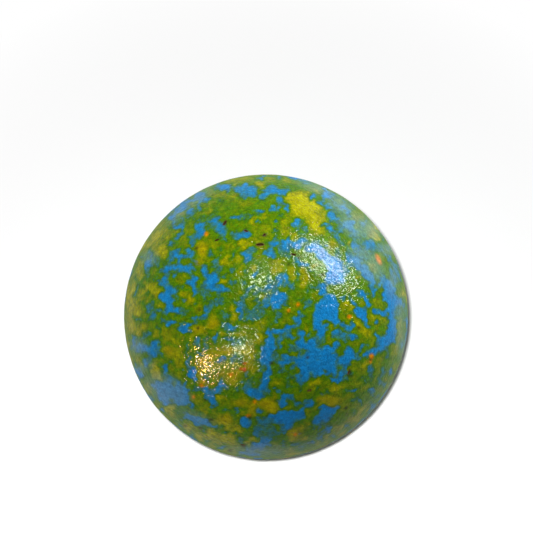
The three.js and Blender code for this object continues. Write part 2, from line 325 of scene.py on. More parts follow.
# The paint's pattern, by how much colour lies over the blue ground: none is bare blue, a little is teal, then green,
# olive and yellow. Dabs are placed from the photograph: pixels across and down, length, width and, where a dab
# is turned, degrees. Small dabs lie over large ones.
BARE = 0.05
WASH = 0.20
THIN = 0.31
GREEN = 0.49
OLIVE = 0.63
GOLD = 0.76
YELLOW = 0.88
LEMON = 0.96
GROUND = 0.50
PHOTO_DABS = {
    BARE: (
        # Top, from left to right
        (200, 196, 14, 11, 30), (190, 201, 12, 5, 35), (184, 206, 12, 4, 42), (178, 211, 12, 4, 42), (207, 200, 5, 3),
        (199, 205, 4, 8), (172, 220, 8, 3.5, 70), (221, 186.5, 12, 5), (227, 187.5, 10, 4), (213, 221, 11, 5),
        (217, 219, 4, 5), (219, 226, 8, 5, 25), (221, 231, 9, 4, 10), (200, 229, 11, 12), (201, 225, 7, 5),
        (198, 237, 8, 4, -30), (178, 226, 10, 7), (183, 228, 5, 5), (178, 236, 7, 4, 55), (170, 243.5, 5, 3.5),
        (191.5, 243, 5, 4), (236, 217, 9, 5, 15), (233, 233.5, 5, 4), (238, 237, 6, 4), (191, 237, 3, 3),
        (242, 187, 8, 3), (250, 187, 9, 4), (237, 190, 4, 6), (254, 193, 5, 5), (246, 190.5, 18, 9), (249, 196, 7, 4),
        (275, 190.5, 22, 6, -8), (272, 187, 5, 3), (266, 193, 9, 7), (262, 197, 4, 3), (285, 192, 5, 3),
        (280, 200, 6, 5), (283, 202.5, 7, 3, -20), (273.5, 209, 6, 6), (280, 208, 4, 4), (287, 208, 5, 7),
        (257, 221, 5, 3), (297, 222, 9, 8), (292, 223, 4, 4), (242, 235, 12, 4, 10), (247, 233, 5, 5),
        (275, 242.5, 7, 7), (286, 242, 8, 8), (284, 247.5, 7, 4), (296, 244, 10, 10), (301, 242, 5, 6),
        (304, 240, 5, 3), (260, 211, 4, 3), (276, 221, 3, 3), (276, 230, 3, 2), (262, 177.5, 13, 3), (279, 177, 5, 4),
        (300, 180, 18, 4, -15), (326, 188, 6, 5), (333, 194, 5, 4), (326, 196, 8, 8), (313, 197, 7, 6),
        (322, 202.5, 9, 4, -15), (327, 207, 6, 4), (331.5, 216, 8, 8), (337, 220, 4, 4), (325, 224, 5, 4),
        (330, 229, 6, 5), (343, 208, 5, 4), (349, 212, 4, 6), (347, 226, 12, 8), (351, 223, 5, 5), (354, 231, 6, 8),
        (363, 223, 5, 4), (339, 233, 5, 3), (337, 237, 5, 3), (327, 244.5, 4, 3), (355, 246, 9, 4, -60),
        (367, 244, 5, 6), (373.5, 244, 4, 8), (389, 259, 9, 4, -45),
        # The bands under the window's glints, upper right
        (309, 249, 6, 6), (316, 248, 14, 11, -40), (322, 254, 14, 12, -40), (332, 262, 18, 12, -40),
        (337, 270, 18, 14, -40), (333, 276, 14, 12), (340, 275, 8, 14), (330, 280, 8, 8), (349, 259, 7, 3, -60),
        (356, 261, 10, 10), (361, 267, 12, 9, -30), (366, 273, 14, 8, -45), (372, 279, 10, 12), (375, 284, 9, 6, -30),
        (303, 264, 16, 4, -30), (387, 283, 11, 6, -70), (390, 290, 12, 12), (380, 282, 4, 5),
        # Right
        (322.5, 287, 8, 7), (324, 291, 7, 7), (373, 293, 4, 10), (362, 294, 7, 5, -45), (366, 298, 8, 6),
        (368, 303, 5, 10), (385, 297, 5, 10), (390, 297, 13, 20), (397, 303, 14, 9), (392, 310, 11, 16),
        (393, 320, 8, 14), (392, 330, 11, 12), (389, 338, 15, 11), (384, 343, 10, 8), (381, 349, 8, 5),
        (377, 352, 10, 4), (372, 351, 7, 3), (384, 312, 10, 4, 15), (381.5, 315, 5, 4), (375, 311.5, 5, 4),
        (376.5, 321.5, 3.5, 3), (377, 335, 4, 4), (407.5, 316, 2.5, 10), (357, 311, 6, 5), (362, 314, 10, 12),
        (365, 320, 7, 8), (368, 326, 6, 4, -45), (360, 309, 6, 3), (353, 303, 8, 3, -65), (364, 346, 5, 2.5, 20),
        (366, 354.5, 6, 6, 30), (353, 336.5, 6, 6), (344, 325.5, 6, 4), (349, 328, 8, 6), (353, 325, 3, 4),
        (336, 331, 6, 5),
        # The large blue fields right of the middle
        (330, 297.5, 10, 7), (328, 308, 24, 20), (320, 315, 12, 12), (334, 316, 11, 14), (320, 325, 14, 12),
        (318, 307, 7, 5), (322, 333, 10, 12), (334, 322, 9, 6), (335, 345, 8, 5), (330, 347, 9, 4), (303, 334, 7, 10),
        (305, 345, 16, 14), (314, 343, 12, 10), (314, 354, 24, 16), (328, 356, 24, 18), (340, 361, 20, 12),
        (322, 364, 44, 18), (349, 352, 10, 8), (350, 358, 18, 7), (306, 365, 18, 14), (298, 363, 9, 8),
        (301, 358, 10, 6), (293, 358, 8, 3, 35), (312, 370, 22, 12), (326, 371, 22, 8), (335, 379, 12, 11),
        (341, 374, 5, 10), (284.5, 356, 4, 3), (283, 364, 10, 8), (287.5, 359, 5, 3, -60), (298, 378.5, 4, 4),
        (303, 381, 6, 3, 50),
        # Middle
        (246.5, 254.5, 10, 9), (247, 258, 6, 4), (264.5, 252, 3, 3), (271.5, 254, 6, 9), (285.7, 275, 8, 9),
        (279.3, 281, 5, 13), (286.5, 281.5, 5, 8), (271, 287.5, 8, 3.5), (275, 300, 9, 16), (282.5, 297, 9, 12),
        (276.5, 305, 8, 6), (279, 294, 12, 6), (265.5, 306, 4, 6), (254.5, 275, 4, 6), (275, 331.5, 8, 3),
        (281, 330, 10, 4, 10), (289, 327.5, 8, 5), (269.3, 332, 3, 6), (268.5, 338, 6, 6), (271, 341, 9, 8),
        (271, 347, 9, 10), (266, 352, 10, 14), (268, 358, 13, 9), (265, 361, 10, 6), (280, 345.5, 5, 7),
        (291, 335.5, 7, 4, -65), (298, 312, 2.5, 5), (297, 318.5, 5, 3), (299, 322, 4.5, 4.5), (239.7, 309, 4, 10),
        # Left
        (178, 250, 5, 3), (176, 255, 7, 9), (178.3, 261, 5, 8), (182, 256.5, 14, 3, 5), (189.7, 252, 5, 6),
        (176, 267.5, 12, 6), (184, 268.5, 13, 5), (192.5, 269, 5, 3, -20), (167, 270, 6, 8), (181, 271, 5, 3),
        (148, 264, 18, 5, 62), (174, 274.5, 4, 3), (165, 280, 5, 7), (161, 282.5, 5, 4), (167.5, 288, 5, 8),
        (168, 295, 8, 12), (161.5, 296, 5, 4), (164, 300, 9, 7), (170, 304, 7, 16), (176, 310.5, 6, 6),
        (169, 312, 11, 4), (173, 291.5, 4, 4), (204, 269, 4, 6), (206.5, 271.5, 5, 6), (212, 281, 13, 16),
        (208, 276, 8, 6), (213, 287, 12, 7), (216.5, 289, 5, 4), (194.3, 280, 6, 7), (190.5, 282.5, 5, 4),
        (193, 285, 3.5, 8), (194.5, 292, 9, 5, -65), (224, 289, 8, 4, -30), (233.3, 254.5, 7, 2.5, 60),
        (171, 322, 8, 5), (168.5, 324, 3, 4), (184, 330.5, 9, 5), (186.5, 327, 5, 5), (194.5, 317, 4, 3),
        (203.5, 316.5, 5, 4, 45), (205.2, 310, 3, 3), (157.5, 310, 3.5, 2.5), (229.5, 325.5, 4, 3),
        (232, 330, 7, 3, 50), (227.5, 338.5, 7, 2.5, -32), (215.5, 336, 6, 2.5, 70), (222, 359, 5, 3.5),
        (192, 373, 8, 12), (195, 377, 5, 8), (154.5, 344.5, 8, 4, 65), (154, 355, 4, 4),
        # Lower left
        (133, 341, 5, 12), (142, 348, 13, 7), (140, 374, 15, 6, -60), (146, 364, 6, 8), (165, 368, 8, 6, -40),
        (184.5, 392, 7, 20), (172, 388, 24, 12), (160, 391, 20, 16), (170, 399, 24, 10), (185, 399, 7, 9),
        (162, 410, 3, 4), (190, 417, 10, 5, -35), (198, 420.5, 14, 5, -15), (206.5, 421, 8, 5),
        (213, 425.5, 9, 3.5, -35), (191, 405, 6, 2.5, -60), (205.5, 389, 5, 6), (213, 402, 8, 9), (211, 404.5, 5, 4),
        (221, 382.5, 4, 6), (219.5, 387, 7, 7), (218, 392, 5, 4), (225, 386.5, 5, 4),
        # Bottom
        (269, 369, 5, 14), (266, 378, 7, 8), (264.5, 384, 7, 9), (262, 388.5, 8, 6), (252.5, 393, 11, 9),
        (259.5, 396, 9, 6, -20), (244, 420, 8, 8), (243.5, 425, 8, 7), (248, 423.5, 4, 3), (286, 396.5, 6, 6),
        (283, 400, 9, 8), (281, 404, 7, 5), (285, 417, 28, 11), (296, 414, 16, 8), (288, 425, 12, 11),
        (302, 413, 6, 7), (272, 415, 4, 3), (310.5, 403, 8, 5, 20), (307, 407, 5, 3, 40), (328, 411, 17, 9),
        (323.5, 407, 7, 6), (324, 416, 13, 9), (318, 421, 13, 5), (335, 409, 8, 5), (373, 389.5, 4, 4),
        (390.5, 371.5, 6, 4, 65), (354, 390, 3, 3), (257, 445, 11, 8), (262, 443, 8, 7), (268, 441.5, 6, 6),
        (328.5, 429, 4, 3),
        # Here and there
        (180, 222, 10, 6, 60), (176, 232, 8, 5), (222, 231, 10, 4, -65), (190, 211, 6, 6), (308, 377, 12, 6, -10),
        (337, 379, 10, 7, 20), (345, 370, 8, 5, 40), (302, 372, 9, 7),
    ),
    WASH: (
        # Top
        (172, 219, 8, 12), (215, 226, 10, 6), (193, 239, 7, 4), (245, 190, 10, 5), (252, 247.5, 6, 4, 30),
        (303, 223, 4, 5), (306, 228, 4, 8), (281, 242, 4, 6), (267, 251, 5, 4), (279.5, 250, 3, 4), (275, 258, 3, 3),
        (384, 249, 7, 4), (392, 271, 4, 8), (398, 277, 5, 3), (346, 270, 8, 14),
        # Middle and right
        (245, 262, 4, 4), (298.5, 274, 5, 6), (298.5, 280, 3, 4), (291, 287, 9, 4.5, 50), (266.5, 289.5, 4, 4),
        (266, 300, 4, 6), (269, 276, 4, 5), (256.5, 300.5, 3.5, 3), (244.5, 296.5, 6, 3), (252, 286, 6, 3),
        (243, 283, 5, 4), (245, 271, 3, 3), (286, 305, 5, 5), (308.5, 302, 7, 5, 40), (306.5, 307, 4, 4),
        (307, 290, 3, 5), (314, 288, 6, 3), (343, 298, 5, 5), (304, 316, 5, 4), (309, 334.5, 4, 4), (334, 334, 5, 5),
        (341, 332, 4, 3), (344, 336, 4, 4), (346.5, 341, 3, 4), (359, 352, 4, 8), (404, 321, 5, 7),
        (377.5, 340, 4, 8), (277, 321, 4, 4), (280, 339.5, 3, 5), (290, 345, 3, 4), (250, 310.5, 4, 3),
        (249, 320.5, 7, 3, -20), (238.5, 302, 6, 4), (292, 367, 4, 8), (292, 377, 4, 3), (275, 388.5, 5, 3),
        (280, 391, 4, 3), (277.5, 393, 3, 4), (300, 391, 5, 2.5, 60), (266, 391, 6, 6), (292, 397, 7, 8),
        (297, 403.5, 8, 5), (304, 402, 4, 4), (351, 391, 8, 4, 15), (372, 395, 4, 8), (361, 402, 5, 6),
        (383, 371.5, 6, 3.5, 55), (383, 386, 4, 4), (380, 382, 4, 5), (373, 409, 9, 5, 45), (322, 393.5, 3.5, 3),
        (318, 388, 5, 2.5, 65), (328, 392, 4, 3), (370, 368, 4, 5),
        # Left
        (157, 262, 3, 8), (161, 270, 4, 4), (170, 253, 4, 4), (142, 257, 6, 4), (149, 253, 8, 4, 70),
        (191, 274.5, 4, 3), (210.5, 252.5, 5, 7), (220, 248, 5, 3, 20), (217.5, 260.5, 9, 6), (221, 266.5, 5, 4),
        (231.5, 270, 5, 6), (232, 281.5, 6, 4), (223, 276, 6, 4), (218.5, 292.5, 3, 5), (229, 292, 4, 3),
        (196, 261, 7, 6), (203, 285, 4, 4), (184, 300, 4, 4), (210.5, 306.5, 4, 5), (216.5, 300, 3, 3),
        (222.5, 298, 5, 3), (235, 302, 5, 4), (219, 303, 6, 5), (147, 294, 5, 5), (142.5, 301.5, 3, 4),
        (136.5, 279, 2.5, 6), (133.5, 295, 5, 3.5, 40), (146, 275, 3.5, 8), (155, 278, 3, 4), (153, 316, 6, 7),
        (148, 308, 5, 8), (185, 316.5, 4, 4), (181, 326, 12, 8), (164, 321, 5, 3), (159, 329, 3, 4), (190, 331, 5, 4),
        (143, 336.5, 5, 5), (148, 334, 6, 5), (161.5, 337.5, 3, 3), (192.5, 325.5, 3, 2), (223.5, 323.5, 3, 4),
        (197, 340, 5, 8), (199, 354, 9, 3.5), (231.5, 357, 5, 4), (206.5, 318.5, 3, 3), (150, 354, 12, 9),
        (161.5, 355, 9, 3, -55), (181.5, 370, 3.5, 3.5), (188, 362, 4, 8),
        # Lower left and bottom
        (165, 392, 40, 26), (168, 372, 10, 8), (172, 379, 12, 8), (150, 400, 10, 10), (207, 394, 5, 8),
        (211, 394, 11, 10), (213.5, 388.5, 6, 3), (240.5, 381.5, 4, 3), (237, 389.5, 6, 3, -30), (243, 390, 6, 3, 20),
        (247, 386, 5, 7), (246.5, 373.5, 3, 4), (203, 424, 14, 5, -15), (237.5, 411.5, 5, 3.5, 50),
        (233.5, 417, 5, 3.5, -30), (224.5, 432.5, 5, 3.5, -20), (236.5, 433, 3, 3), (222.5, 427, 3.5, 3.5),
        (260, 411, 6, 8), (265, 420, 10, 7), (257.5, 419, 4, 3), (256, 433, 9, 8), (262, 439, 8, 5),
        (278, 432, 12, 4), (284, 433, 5, 8), (283.5, 444, 4, 5), (300, 435, 5, 5), (312, 443, 6, 6),
        (326, 431, 6, 3.5, 25), (319.5, 427.5, 3, 3), (334, 436, 6, 4), (348, 426, 6, 4, 50), (222, 446.5, 9, 5),
        (242, 453, 16, 4), (256, 456, 18, 4), (247.5, 448, 4, 4), (207, 440.5, 8, 4, -30), (178.5, 425, 6, 3.5, -40),
    ),
    THIN: (
        # Top
        (192, 211, 13, 9, 30), (188, 217, 7, 6), (213, 229, 8, 4), (207, 226, 5, 6), (223, 237, 7, 6),
        (230, 209, 7, 3), (221, 200, 7, 4), (215, 210, 2, 6), (212, 215, 5, 3, 40), (206, 218, 6, 3),
        (198, 219, 14, 5), (178, 221, 10, 6), (277, 207, 4, 9), (280, 214, 7, 5), (260, 202, 5, 4), (258, 212, 9, 8),
        (248, 217, 16, 8), (300, 231, 14, 10), (288, 187, 14, 3), (268, 184, 4, 2), (345, 215, 50, 46),
        (300, 246, 30, 14), (286, 252, 14, 14), (270, 250, 16, 16), (370, 246, 46, 30), (345, 252, 44, 26),
        (250, 250, 9, 8), (254, 251, 6, 5), (334, 205, 26, 22, -30), (350, 236, 30, 20), (362, 240, 20, 16),
        # Right
        (382, 275, 10, 16), (394, 268, 6, 8), (396, 278, 14, 16), (377, 286, 6, 6), (357, 293, 6, 8),
        (331, 284, 36, 9), (340, 336, 17, 10), (398, 311, 9, 12), (396, 317, 4, 8), (402, 312, 4, 8),
        (402, 345, 4, 8), (388, 354, 5, 9), (318, 341, 6, 10), (322, 346, 7, 7), (325, 340, 6, 6), (302, 354, 6, 8),
        (309, 300, 5, 10), (296, 330, 6, 16), (347, 372, 4, 12), (371, 373, 6, 15), (347, 379, 6, 6),
        (365, 380, 4, 5), (355, 398, 7, 7), (354.5, 412, 5, 4), (384, 384, 9, 8), (378, 396, 7, 9), (374, 404, 9, 7),
        (382, 376, 8, 12), (350, 375, 4, 8), (307, 362.5, 3, 3), (320, 362, 3, 2.5), (337, 362, 3, 8),
        (302, 378, 4, 6), (344, 370, 5, 5), (331, 376.5, 9, 3),
        # Middle
        (283, 281, 2.5, 8), (270, 281, 10, 8), (247, 261, 8, 6), (257, 268, 9, 8), (268, 296, 6, 10),
        (262, 310, 8, 8), (247.5, 312.5, 15, 9), (260, 316, 7, 3), (278, 315, 8, 10), (273, 323, 7, 5),
        (305, 321, 11, 18), (283, 336, 16, 8), (292, 349, 12, 11), (276, 360, 12, 5), (277, 355, 8, 9),
        (262, 368, 7, 10), (279, 371, 16, 9), (287.5, 382, 5, 12), (291, 388, 6, 4), (240, 316, 8, 12),
        (255, 300, 30, 30), (254, 313, 24, 16), (300, 300, 8, 4),
        # Left
        (172, 258, 10, 12), (148, 257, 14, 12), (155, 262, 8, 8), (167, 263, 9, 5), (214, 265, 9, 9),
        (199, 265, 8, 5, -20), (219, 270, 6, 8), (205, 291, 14, 12), (181, 286.5, 6, 6), (186, 291, 4, 3),
        (176.5, 292, 3, 10), (203, 299.5, 3.5, 6), (195, 302, 3.5, 3), (178, 300, 6, 8), (208, 311, 9, 9),
        (211, 302, 8, 5), (184, 311, 12, 12), (150, 305, 12, 12), (142, 283, 3, 7), (137, 289, 7, 3, 70),
        (144, 319, 12, 4), (194, 321, 12, 6, 20), (222, 313, 12, 4), (226, 317, 7, 6), (226, 328, 10, 8),
        (216, 340, 5, 6), (196, 346, 5, 7), (205, 347, 7, 8), (206, 338, 7, 10), (186.5, 345, 4, 8),
        (187.5, 354, 5, 18), (233, 361, 4, 6), (219, 361, 8, 4), (234, 345, 7, 12), (240, 342, 8, 8),
        (205, 378, 7, 8), (198, 390, 16, 11), (172, 366, 10, 10), (136, 320, 6, 5), (138, 341, 8, 7),
        (168, 320, 14, 8), (153, 350, 14, 24), (237, 358, 8, 8),
        # Bottom
        (225, 410.5, 14, 6), (209, 411, 3, 4), (200, 414, 3.5, 4), (239, 411, 9, 6), (204, 431, 7, 6),
        (192, 436, 4, 3), (175, 414, 14, 9), (185, 420, 14, 8), (262, 423, 22, 18), (268, 432, 16, 14),
        (276, 439, 7, 4), (299, 422, 6, 5), (313, 427, 6, 7), (325, 425, 9, 7), (320, 436, 9, 12), (300, 446, 18, 10),
        (294, 442, 6, 4), (241, 441, 11, 9), (259, 451, 24, 8), (253, 381, 10, 6), (259, 372, 6, 5),
        (247, 388, 10, 10), (226, 389, 4, 4),
    ),
    GREEN: (
        # Top
        (225, 225, 26, 34), (188, 240, 20, 16), (262, 226, 26, 26), (329, 203, 8, 4, -40), (333, 224, 6, 6),
        (342, 236, 5, 3), (346, 234, 3, 8), (339, 199, 8, 6), (276, 249, 4, 6), (300, 251, 8, 6), (293, 253, 5, 4),
        (323, 242.5, 5, 3.5), (327, 248.5, 5, 3), (306, 252, 4, 4), (350, 243, 14, 3, -60), (372, 259, 6, 5),
        (387, 267, 9, 14), (375, 234, 14, 16),
        # Right
        (352, 272, 6, 14), (354, 281, 18, 12), (340, 291, 14, 9), (365, 287, 12, 10), (329, 288, 3, 6),
        (355, 291, 4, 5), (320, 281, 12, 3), (377, 280, 3, 6), (400, 283, 6, 8), (402, 291, 9, 12), (355, 302, 5, 9),
        (381, 301, 12, 14), (384, 322, 13, 12), (382, 331, 10, 10), (389, 350, 10, 5), (370, 296, 4, 4),
        (346, 314, 12, 10), (350, 322, 12, 8), (340, 327.5, 10, 4), (345, 331, 8, 4), (356, 352, 4, 9),
        (340, 350, 8, 9), (340, 355, 4, 5), (334, 352.5, 4, 2.5), (366, 340, 16, 14), (347, 345, 20, 9),
        (357, 336, 8, 5), (325, 345, 5, 2.5), (328, 323, 5, 2.5, -45), (329, 325.5, 2.5, 4), (322.5, 323.5, 3, 2),
        (309, 322, 13, 22), (308, 312, 12, 12), (313.5, 308, 5, 5), (306, 351, 5, 2.5), (338, 371, 3, 9, -10),
        (332, 376, 5, 2.5), (325, 370.5, 3, 3), (312.5, 374.5, 2.5, 3), (341, 366.5, 3.5, 3), (312, 378.5, 4, 3),
        (309, 322, 8, 18), (394, 355, 16, 18), (390, 366, 14, 14), (404, 333, 7, 22),
        # Middle
        (283, 289, 7, 4), (284, 308, 12, 10), (262, 296, 8, 8), (280, 262, 14, 10), (256, 258, 14, 14),
        (270, 312, 16, 10), (276.5, 341.5, 3.5, 9), (285, 350, 8, 16), (296, 340.5, 4, 4), (258, 352, 6, 16),
        (281, 353, 4, 7), (278, 367.5, 5, 3), (273, 371, 5, 5), (287, 367, 6, 5), (292, 362, 5, 5), (256, 381, 5, 4),
        (253.5, 387.5, 3, 3), (283, 383, 14, 12), (300, 388, 16, 12), (287, 378, 12, 12),
        # Left
        (175, 262.5, 5, 5), (149, 257, 3, 3), (186, 261, 12, 9), (184, 252, 8, 6), (170, 283, 8, 15),
        (151, 267, 8, 12), (150, 279, 7, 10), (158, 280, 4, 9), (167, 319, 4, 3), (178, 305, 7, 5), (176, 300, 6, 14),
        (192, 306, 8, 12), (213, 300, 10, 6), (217.5, 284, 3, 3.5), (158, 320, 10, 12), (201, 322, 5, 6),
        (216, 328, 16, 14), (208, 334, 14, 12), (150, 341, 6, 8), (158, 357, 3, 5), (146, 379, 9, 6),
        (142, 356, 12, 9), (174, 384, 3.5, 6), (185, 377.5, 3, 4), (171, 401, 5, 5), (172, 371, 10, 8),
        (188, 346, 10, 16), (192, 357, 8, 12), (210, 383, 12, 6), (208, 385, 8, 6),
        # Bottom
        (235, 395, 20, 8), (240, 386, 10, 7), (256, 421, 3, 3), (250, 431, 4, 3), (252, 424, 7, 12), (303, 406, 7, 7),
        (264, 416, 8, 4), (308, 383, 9, 8), (313, 392, 14, 8), (309, 415, 9, 12), (316, 411, 6, 8),
        (337, 419, 12, 10), (343, 412, 10, 14), (365, 396, 10, 12), (367, 400, 3, 9), (325, 378, 6, 5),
        (278, 451, 22, 9), (262, 452, 10, 6), (304, 431, 16, 6), (283, 437, 8, 5), (240, 449, 8, 4),
        (205, 428, 12, 7), (180, 418, 14, 9), (185, 410, 12, 8), (186, 432, 14, 8), (247, 436, 8, 6),
        (320, 430, 8, 5), (195, 406, 6, 6), (155, 403, 7, 2.5, -50), (376, 381, 6, 14), (360, 397, 12, 10),
    ),
    OLIVE: (
        # Top
        (245, 203, 12, 7), (262, 230, 14, 14), (270, 232, 7, 14), (287, 228, 10, 8), (290, 216, 8, 8),
        (253, 240, 10, 5), (212, 192, 10, 4), (184, 214, 7, 8), (211, 205, 8, 10), (203, 213, 11, 5, 10),
        (222, 195, 16, 9), (168, 235, 8, 16), (175, 231, 4, 3), (189, 230, 10, 7), (185, 241, 15, 12),
        (240, 181, 14, 5), (207, 238, 4, 4), (257, 225, 10, 8), (260, 253, 9, 12), (301, 250, 4, 5), (343, 250, 3, 4),
        (333, 240, 6, 6), (357, 226, 5, 4), (381, 257, 11, 10), (358, 216, 14, 13), (332, 251, 5, 6),
        (344, 257, 4, 7), (373, 235, 12, 12), (319, 189, 12, 8), (382, 290.5, 4, 4), (157, 232, 14, 20, -30),
        (150, 240, 9, 22, -30), (162, 242, 12, 20), (145, 252, 5, 20, -25), (138, 268, 8, 20, -15),
        (166, 228, 14, 20, -30),
        # Right
        (316, 297, 7, 15), (350, 288, 6, 4), (350, 292, 5, 4), (373, 300, 6, 8), (377, 303, 12, 12),
        (384, 307, 9, 5, -45), (370, 309, 4, 4), (373, 317, 10, 8), (369, 314, 4, 8), (370, 322.5, 4, 5),
        (362, 304, 5, 10), (384, 319, 10, 6), (378, 327, 12, 9), (344, 309, 9, 10), (357, 320, 10, 6, -40),
        (349, 321, 7, 5), (355, 330, 9, 6), (341.5, 317, 5, 5), (330, 331, 5, 6), (329, 337, 6, 12), (331, 342, 6, 4),
        (306.5, 334, 3, 9), (308, 338.5, 5.5, 3.5), (308.5, 317.5, 4, 3), (303, 323, 4, 6), (325.5, 321.5, 4, 2),
        (343, 341.5, 10, 5), (352, 344, 12, 7), (362, 342, 8, 9), (368, 345, 5, 5), (363.5, 350.5, 8, 3.5, 65),
        (356, 366, 10, 9), (352.5, 363, 4, 5), (372, 343, 8, 13), (399, 331, 5, 10), (396, 350, 14, 12),
        (380, 359, 13, 8), (383, 354, 6, 6), (379, 367, 6, 12), (363, 370, 14, 14), (402, 330, 8, 14),
        (357, 383, 10, 6), (361, 390, 8, 5), (345, 386, 6, 7), (350, 397, 6, 5, 50), (389, 378, 10, 6),
        (348, 411, 6, 8), (362, 414, 14, 8, 35), (343, 403, 12, 9), (388, 385, 6, 6), (347, 400, 8, 6),
        (346, 382, 8, 6), (356, 405, 10, 6),
        # Middle
        (238, 255, 10, 18), (246, 245, 14, 14), (243, 262, 8, 9), (283, 290.5, 6, 2, 30), (290, 306, 11, 13),
        (295, 315, 5, 5), (287, 319, 12, 11), (283, 322, 9, 6), (250, 300, 10, 14), (266, 318, 4, 6),
        (259, 322, 20, 5, 15), (277, 325.5, 7, 4), (272, 328.5, 4, 3), (264, 336, 6, 6), (284, 345, 4, 6),
        (294, 332.5, 3.5, 5), (289, 356, 5, 3.5), (256, 328, 20, 10, 15), (305.5, 328, 6, 4), (285, 314, 6, 14),
        (246, 326, 12, 8), (248, 334, 14, 8), (300, 307, 10, 9), (268, 309, 6, 4), (297, 371, 5, 11),
        (294, 382, 6, 7), (288, 391, 10, 4), (296, 390, 6, 4), (300, 397, 9, 7), (290, 408, 14, 4),
        # Left
        (155, 272, 7, 8), (162, 250, 11, 18), (178, 280, 9, 8), (180, 272, 9, 4), (187, 288, 5, 8), (181, 301, 5, 4),
        (186, 306, 5, 4), (194, 305, 4, 4), (198, 298, 6, 8), (197, 309, 10, 14), (200, 313.5, 9, 5),
        (159, 307, 9, 13), (172, 316, 6, 4), (185, 320.5, 9, 4), (191.5, 316, 3, 5), (149, 288, 16, 16),
        (146, 301, 5, 4), (145, 317, 5, 5), (141, 312, 10, 12), (150, 325, 9, 8), (170, 331, 16, 11),
        (176, 328, 6, 9), (182, 337, 8, 6), (191, 340, 4, 16), (200, 330, 16, 10), (183, 355, 7, 20),
        (210, 270, 5, 6), (228, 287, 8, 6), (234, 279, 7, 4), (229, 260, 12, 12), (222, 309, 14, 4), (216, 333, 8, 8),
        (213, 344, 10, 10), (228, 344, 14, 10), (190, 383, 5, 8), (174, 357, 24, 22), (182, 382, 4, 5),
        (175, 376, 6, 3, -20), (161.5, 360.5, 5, 5), (192.5, 396, 9, 5, -50), (201, 400, 9, 16), (222, 377, 10, 16),
        (236, 374, 16, 16), (193, 412, 11, 6), (143, 328, 8, 10), (127, 314, 4, 26), (128, 335, 4, 20),
        (131, 352, 5, 14, -15), (136, 306, 8, 24), (147, 390, 8, 4.5, -55), (222, 247, 26, 10), (212, 246, 10, 14),
        # Bottom
        (215, 414, 18, 16), (227, 402, 18, 13), (226, 421, 20, 16), (223, 391.5, 6, 5), (240, 392, 5, 3),
        (241, 433, 8, 7), (231, 432, 16, 9), (214, 384.5, 6, 3), (216, 378, 4, 6), (272, 383, 5, 7), (281, 385, 8, 6),
        (309, 389, 4, 6), (326, 384, 11, 9), (321, 388, 7, 7), (333, 393, 16, 6), (317, 405, 4, 8), (308, 412, 5, 7),
        (308, 419, 5, 8), (300, 427, 14, 5), (276, 442.5, 8, 7), (237, 443, 7, 5), (340, 411, 6, 4, 50),
        (286, 453, 10, 5), (304, 394, 10, 4), (330, 437, 10, 6), (338, 431, 9, 7), (341, 438, 8, 4, 30),
        (168, 416, 12, 5, -45), (194, 431, 9, 6), (186, 422, 5, 4), (171, 410, 9, 4), (245, 397, 14, 10),
        (235, 425, 12, 12), (250, 404, 12, 10), (260, 415, 8, 3),
    ),
    GOLD: (
        (234, 198, 6, 5), (192, 204, 8, 4), (209, 212, 4, 4), (202, 249, 9, 16), (203, 261, 6, 7), (196, 246, 6, 4),
        (262, 186, 6, 5), (270, 179, 9, 3), (262, 247, 8, 4), (257, 242, 8, 4), (333, 245, 7, 3.5), (375, 233, 8, 12),
        (372, 266, 10, 4.5, -65), (149, 245, 5, 7), (140, 270, 6, 10), (159, 232, 6, 7), (163, 228, 8, 4),
        (165, 246, 5, 7), (226, 260, 6, 6), (228, 257, 5, 4), (243, 244, 9, 9), (238, 258, 5, 9), (291, 271, 8, 8),
        (293, 277, 8, 6, -50), (278, 262, 15, 8), (242, 268.5, 5, 3), (309, 279, 8, 7), (346, 303, 11, 9),
        (375, 301, 5, 6), (363, 303, 4, 7), (372, 317, 7, 5), (383, 318, 6, 3), (376.5, 324.5, 6, 3),
        (360, 325, 11, 9), (364, 331, 14, 8), (368, 335, 7, 5), (352, 318, 6, 5), (328.5, 338, 5, 7),
        (332.5, 327.5, 4, 4), (305.5, 330, 4, 4), (365, 363, 8, 9), (349.5, 369, 3, 3), (403, 293, 8, 6),
        (400, 322, 4, 7), (399, 339, 5, 9), (258, 339, 13, 12), (262, 322, 8, 4), (294.5, 354, 4, 4),
        (184, 277, 6, 7), (184, 294, 8, 7), (191, 297, 5, 8), (200, 305.5, 7, 5), (197, 308.5, 5, 4),
        (213, 317, 7, 10), (213, 324, 13, 9), (234, 316, 8, 12), (232, 308.5, 4, 4), (198, 329, 12, 7),
        (196, 333, 7, 4), (192, 337, 3.5, 6), (148, 287, 12, 9), (156, 291, 7, 9), (152, 285, 5, 9),
        (143, 292, 4, 10), (149, 299, 5, 4), (161, 305, 6, 6), (155.5, 334, 7, 12), (164, 334, 5, 11),
        (169, 339, 16, 6, -10), (177, 341, 5, 5), (164, 348, 6, 6), (178, 354, 14, 12), (180, 364, 10, 9),
        (180.5, 374, 5, 7), (171, 367.5, 4, 4), (132, 306, 7, 15), (131, 328, 7, 16), (136, 332, 9, 8),
        (138, 327, 4, 6), (217, 352, 14, 8), (222, 333.5, 5, 4), (237, 334, 12, 5), (247, 345, 8, 10),
        (250, 354, 11, 20), (230, 350, 10, 6), (205.5, 333.5, 4, 4), (156.5, 361.5, 7, 4, -55),
        (138.5, 361, 8, 3.5, -60), (199, 371, 4.5, 10), (199.5, 378, 5, 8), (202.5, 383, 6, 4, -45),
        (207.5, 406, 3, 3), (203, 412, 9, 7, -30), (195, 401, 4, 6), (220, 397, 8, 6), (241, 403, 12, 7, 20),
